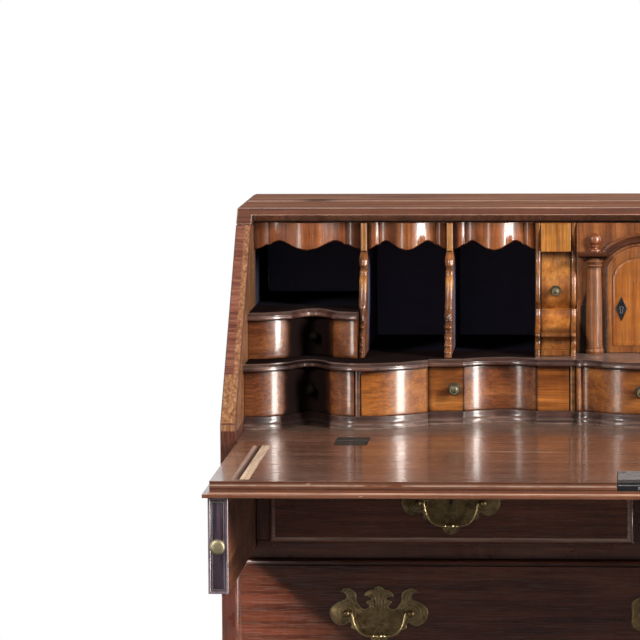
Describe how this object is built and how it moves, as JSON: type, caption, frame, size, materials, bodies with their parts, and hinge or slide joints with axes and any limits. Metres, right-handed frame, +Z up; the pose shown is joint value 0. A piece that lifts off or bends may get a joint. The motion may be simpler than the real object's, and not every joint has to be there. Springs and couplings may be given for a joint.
{
  "type": "slant-front writing desk",
  "caption": "Slant-front writing desk in reddish hardwood, standing open on its lopers, with a serpentine fitted interior, lipped drawers and batwing handles.",
  "frame": {"origin": "on the floor under the middle of the open desk, the bottom centre of its bounding box", "axes": "+Z up, the front with the open fall faces -Y, +X to the right of someone who sits at it"},
  "size_m": [1.024, 0.814, 1.02],
  "materials": {
    "carcase": "polished reddish brown hardwood",
    "interior": "polished, worn and lighter than the carcase",
    "panel": "polished golden figured wood",
    "loper": "dark polished wood with an inlaid line",
    "oak": "plain, unpolished",
    "slip": "pale close-grained slip, satin",
    "brass": "old brass, dull with bright edges",
    "iron": "dark worn steel"
  },
  "bodies": {
    "carcase": {"back_panel": "oak", "bottom_board": "carcase", "bracket_base": "carcase", "bed_hinge_leaf_left": "iron", "bed_hinge_leaf_right": "iron", "column_left": "interior", "column_right": "interior", "divider_inner_left": "interior", "divider_inner_right": "interior", "divider_outer_left": "interior", "divider_outer_right": "interior", "document_case_left": "interior", "document_case_right": "interior", "gallery_base": "interior", "loper_partition_left": "carcase", "loper_partition_right": "carcase", "main_shelf": "interior", "prospect_frame": "panel", "rail_lower": "carcase", "rail_middle": "carcase", "rail_upper": "carcase", "side_left": "carcase", "side_right": "carcase", "side_shelf_left": "interior", "side_shelf_right": "interior", "top_board": "carcase", "top_divider": "carcase", "valance_left": "carcase", "valance_right": "carcase", "writing_bed": "carcase"},
    "fall": {"fall_board": "carcase", "fall_slip": "slip", "fall_lock": "iron", "fall_hinge_leaf_left": "iron", "fall_hinge_leaf_right": "iron"},
    "loper_left": {"loper_left": "loper"},
    "loper_right": {"loper_right": "loper"},
    "top_drawer_left": {"top_drawer_left": "carcase"},
    "top_handle_left_bail": {"top_handle_left_bail": "brass"},
    "top_drawer_right": {"top_drawer_right": "carcase"},
    "top_handle_right_bail": {"top_handle_right_bail": "brass"},
    "long_drawer_upper": {"long_drawer_upper": "carcase"},
    "long_drawer_upper_handle_left_bail": {"long_drawer_upper_handle_left_bail": "brass"},
    "long_drawer_upper_handle_right_bail": {"long_drawer_upper_handle_right_bail": "brass"},
    "long_drawer_middle": {"long_drawer_middle": "carcase"},
    "long_drawer_middle_handle_left_bail": {"long_drawer_middle_handle_left_bail": "brass"},
    "long_drawer_middle_handle_right_bail": {"long_drawer_middle_handle_right_bail": "brass"},
    "long_drawer_lower": {"long_drawer_lower": "carcase"},
    "long_drawer_lower_handle_left_bail": {"long_drawer_lower_handle_left_bail": "brass"},
    "long_drawer_lower_handle_right_bail": {"long_drawer_lower_handle_right_bail": "brass"},
    "centre_drawer": {"centre_drawer": "interior"},
    "wide_drawer_left": {"wide_drawer_left": "interior"},
    "side_drawer_lower_left": {"side_drawer_lower_left": "interior"},
    "side_drawer_upper_left": {"side_drawer_upper_left": "interior"},
    "document_drawer_left": {"document_drawer_left": "panel"},
    "wide_drawer_right": {"wide_drawer_right": "interior"},
    "side_drawer_lower_right": {"side_drawer_lower_right": "interior"},
    "side_drawer_upper_right": {"side_drawer_upper_right": "interior"},
    "document_drawer_right": {"document_drawer_right": "panel"},
    "prospect_door": {"prospect_door": "panel"}
  },
  "joints": [
    {"name": "fall_hinge", "type": "hinge", "parent": "carcase", "child": "fall", "pos_m": [0, -0.056, 0.76], "axis": [1, 0, 0], "range_deg": [-135, 0]},
    {"name": "loper_slide_left", "type": "slide", "parent": "carcase", "child": "loper_left", "axis": [0, -1, 0], "range_m": [-0.34, 0]},
    {"name": "loper_slide_right", "type": "slide", "parent": "carcase", "child": "loper_right", "axis": [0, -1, 0], "range_m": [-0.34, 0]},
    {"name": "top_drawer_slide_left", "type": "slide", "parent": "carcase", "child": "top_drawer_left", "axis": [0, -1, 0], "range_m": [0, 0.33]},
    {"name": "top_handle_left_swing", "type": "hinge", "parent": "top_drawer_left", "child": "top_handle_left_bail", "pos_m": [-0.22515, -0.0745, 0.68863], "axis": [-1, 0, 0], "range_deg": [0, 85]},
    {"name": "top_drawer_slide_right", "type": "slide", "parent": "carcase", "child": "top_drawer_right", "axis": [0, -1, 0], "range_m": [0, 0.33]},
    {"name": "top_handle_right_swing", "type": "hinge", "parent": "top_drawer_right", "child": "top_handle_right_bail", "pos_m": [0.22515, -0.0745, 0.68863], "axis": [-1, 0, 0], "range_deg": [0, 85]},
    {"name": "long_drawer_upper_slide", "type": "slide", "parent": "carcase", "child": "long_drawer_upper", "axis": [0, -1, 0], "range_m": [0, 0.33]},
    {"name": "long_drawer_upper_handle_left_swing", "type": "hinge", "parent": "long_drawer_upper", "child": "long_drawer_upper_handle_left_bail", "pos_m": [-0.3113, -0.0745, 0.556], "axis": [-1, 0, 0], "range_deg": [0, 85]},
    {"name": "long_drawer_upper_handle_right_swing", "type": "hinge", "parent": "long_drawer_upper", "child": "long_drawer_upper_handle_right_bail", "pos_m": [0.3113, -0.0745, 0.556], "axis": [-1, 0, 0], "range_deg": [0, 85]},
    {"name": "long_drawer_middle_slide", "type": "slide", "parent": "carcase", "child": "long_drawer_middle", "axis": [0, -1, 0], "range_m": [0, 0.33]},
    {"name": "long_drawer_middle_handle_left_swing", "type": "hinge", "parent": "long_drawer_middle", "child": "long_drawer_middle_handle_left_bail", "pos_m": [-0.3113, -0.0745, 0.391], "axis": [-1, 0, 0], "range_deg": [0, 85]},
    {"name": "long_drawer_middle_handle_right_swing", "type": "hinge", "parent": "long_drawer_middle", "child": "long_drawer_middle_handle_right_bail", "pos_m": [0.3113, -0.0745, 0.391], "axis": [-1, 0, 0], "range_deg": [0, 85]},
    {"name": "long_drawer_lower_slide", "type": "slide", "parent": "carcase", "child": "long_drawer_lower", "axis": [0, -1, 0], "range_m": [0, 0.33]},
    {"name": "long_drawer_lower_handle_left_swing", "type": "hinge", "parent": "long_drawer_lower", "child": "long_drawer_lower_handle_left_bail", "pos_m": [-0.3113, -0.0745, 0.216], "axis": [-1, 0, 0], "range_deg": [0, 85]},
    {"name": "long_drawer_lower_handle_right_swing", "type": "hinge", "parent": "long_drawer_lower", "child": "long_drawer_lower_handle_right_bail", "pos_m": [0.3113, -0.0745, 0.216], "axis": [-1, 0, 0], "range_deg": [0, 85]},
    {"name": "centre_drawer_slide", "type": "slide", "parent": "carcase", "child": "centre_drawer", "axis": [0, -1, 0], "range_m": [0, 0.18]},
    {"name": "wide_drawer_left_slide", "type": "slide", "parent": "carcase", "child": "wide_drawer_left", "axis": [0, -1, 0], "range_m": [0, 0.18]},
    {"name": "side_drawer_lower_left_slide", "type": "slide", "parent": "carcase", "child": "side_drawer_lower_left", "axis": [0, -1, 0], "range_m": [0, 0.18]},
    {"name": "side_drawer_upper_left_slide", "type": "slide", "parent": "carcase", "child": "side_drawer_upper_left", "axis": [0, -1, 0], "range_m": [0, 0.18]},
    {"name": "document_drawer_left_slide", "type": "slide", "parent": "carcase", "child": "document_drawer_left", "axis": [0, -1, 0], "range_m": [0, 0.18]},
    {"name": "wide_drawer_right_slide", "type": "slide", "parent": "carcase", "child": "wide_drawer_right", "axis": [0, -1, 0], "range_m": [0, 0.18]},
    {"name": "side_drawer_lower_right_slide", "type": "slide", "parent": "carcase", "child": "side_drawer_lower_right", "axis": [0, -1, 0], "range_m": [0, 0.18]},
    {"name": "side_drawer_upper_right_slide", "type": "slide", "parent": "carcase", "child": "side_drawer_upper_right", "axis": [0, -1, 0], "range_m": [0, 0.18]},
    {"name": "document_drawer_right_slide", "type": "slide", "parent": "carcase", "child": "document_drawer_right", "axis": [0, -1, 0], "range_m": [0, 0.18]},
    {"name": "prospect_door_hinge", "type": "hinge", "parent": "carcase", "child": "prospect_door", "pos_m": [0.0427, 0.1845, 0.8388], "axis": [0, 0, 1], "range_deg": [0, 90]}
  ]
}
